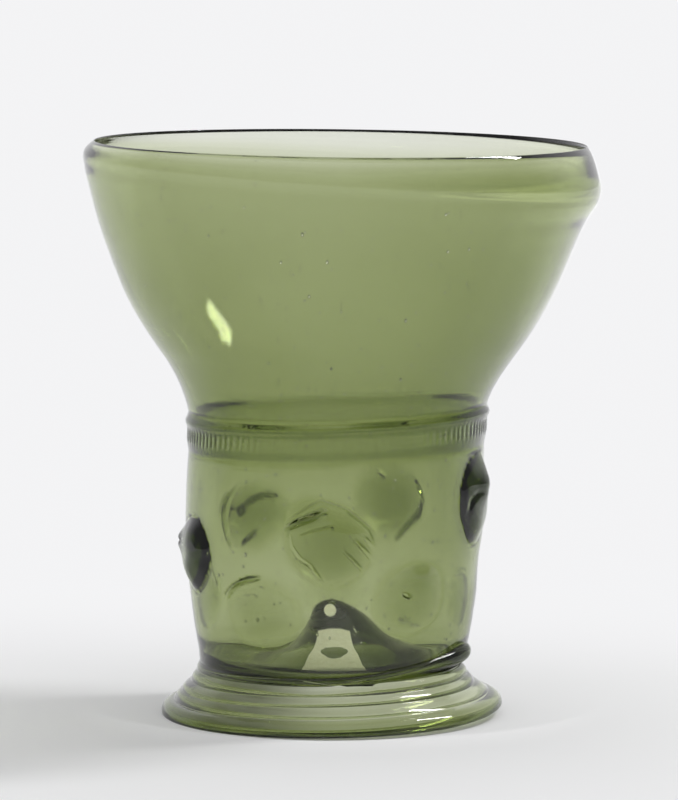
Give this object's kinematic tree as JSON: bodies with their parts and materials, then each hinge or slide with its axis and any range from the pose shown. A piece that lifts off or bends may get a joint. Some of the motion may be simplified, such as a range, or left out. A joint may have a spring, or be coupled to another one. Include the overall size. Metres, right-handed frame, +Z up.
{
  "type": "prunted beaker",
  "caption": "Green glass beaker with a flared bowl, thick lip, notched collar, two rows of prunts on an open stem, pointed kick and wound thread foot.",
  "frame": {"origin": "on the table under the middle of the lip", "axes": "+Z up through the bowl, -Y towards the front, where the two lower prunts and one upper prunt face the viewer"},
  "size_m": [0.0981, 0.098, 0.1105],
  "materials": {
    "wall_glass": "clear olive green, glossy, with seeds and faint drawn streaks",
    "collar_glass": "clear olive green, glossy, tooled with close notches",
    "foot_glass": "clear olive green, glossy, in wound threads",
    "prunt_glass": "thick clear olive green, fire polished",
    "scar_glass": "rough broken green glass"
  },
  "bodies": {
    "root": {"vessel": "wall_glass", "milled_collar": "collar_glass", "foot_coil": "foot_glass", "prunt_upper_1": "prunt_glass", "prunt_upper_2": "prunt_glass", "prunt_upper_3": "prunt_glass", "prunt_upper_4": "prunt_glass", "prunt_upper_5": "prunt_glass", "prunt_lower_1": "prunt_glass", "prunt_lower_2": "prunt_glass", "prunt_lower_3": "prunt_glass", "prunt_lower_4": "prunt_glass", "prunt_lower_5": "prunt_glass", "pontil_scar": "scar_glass"}
  },
  "joints": []
}
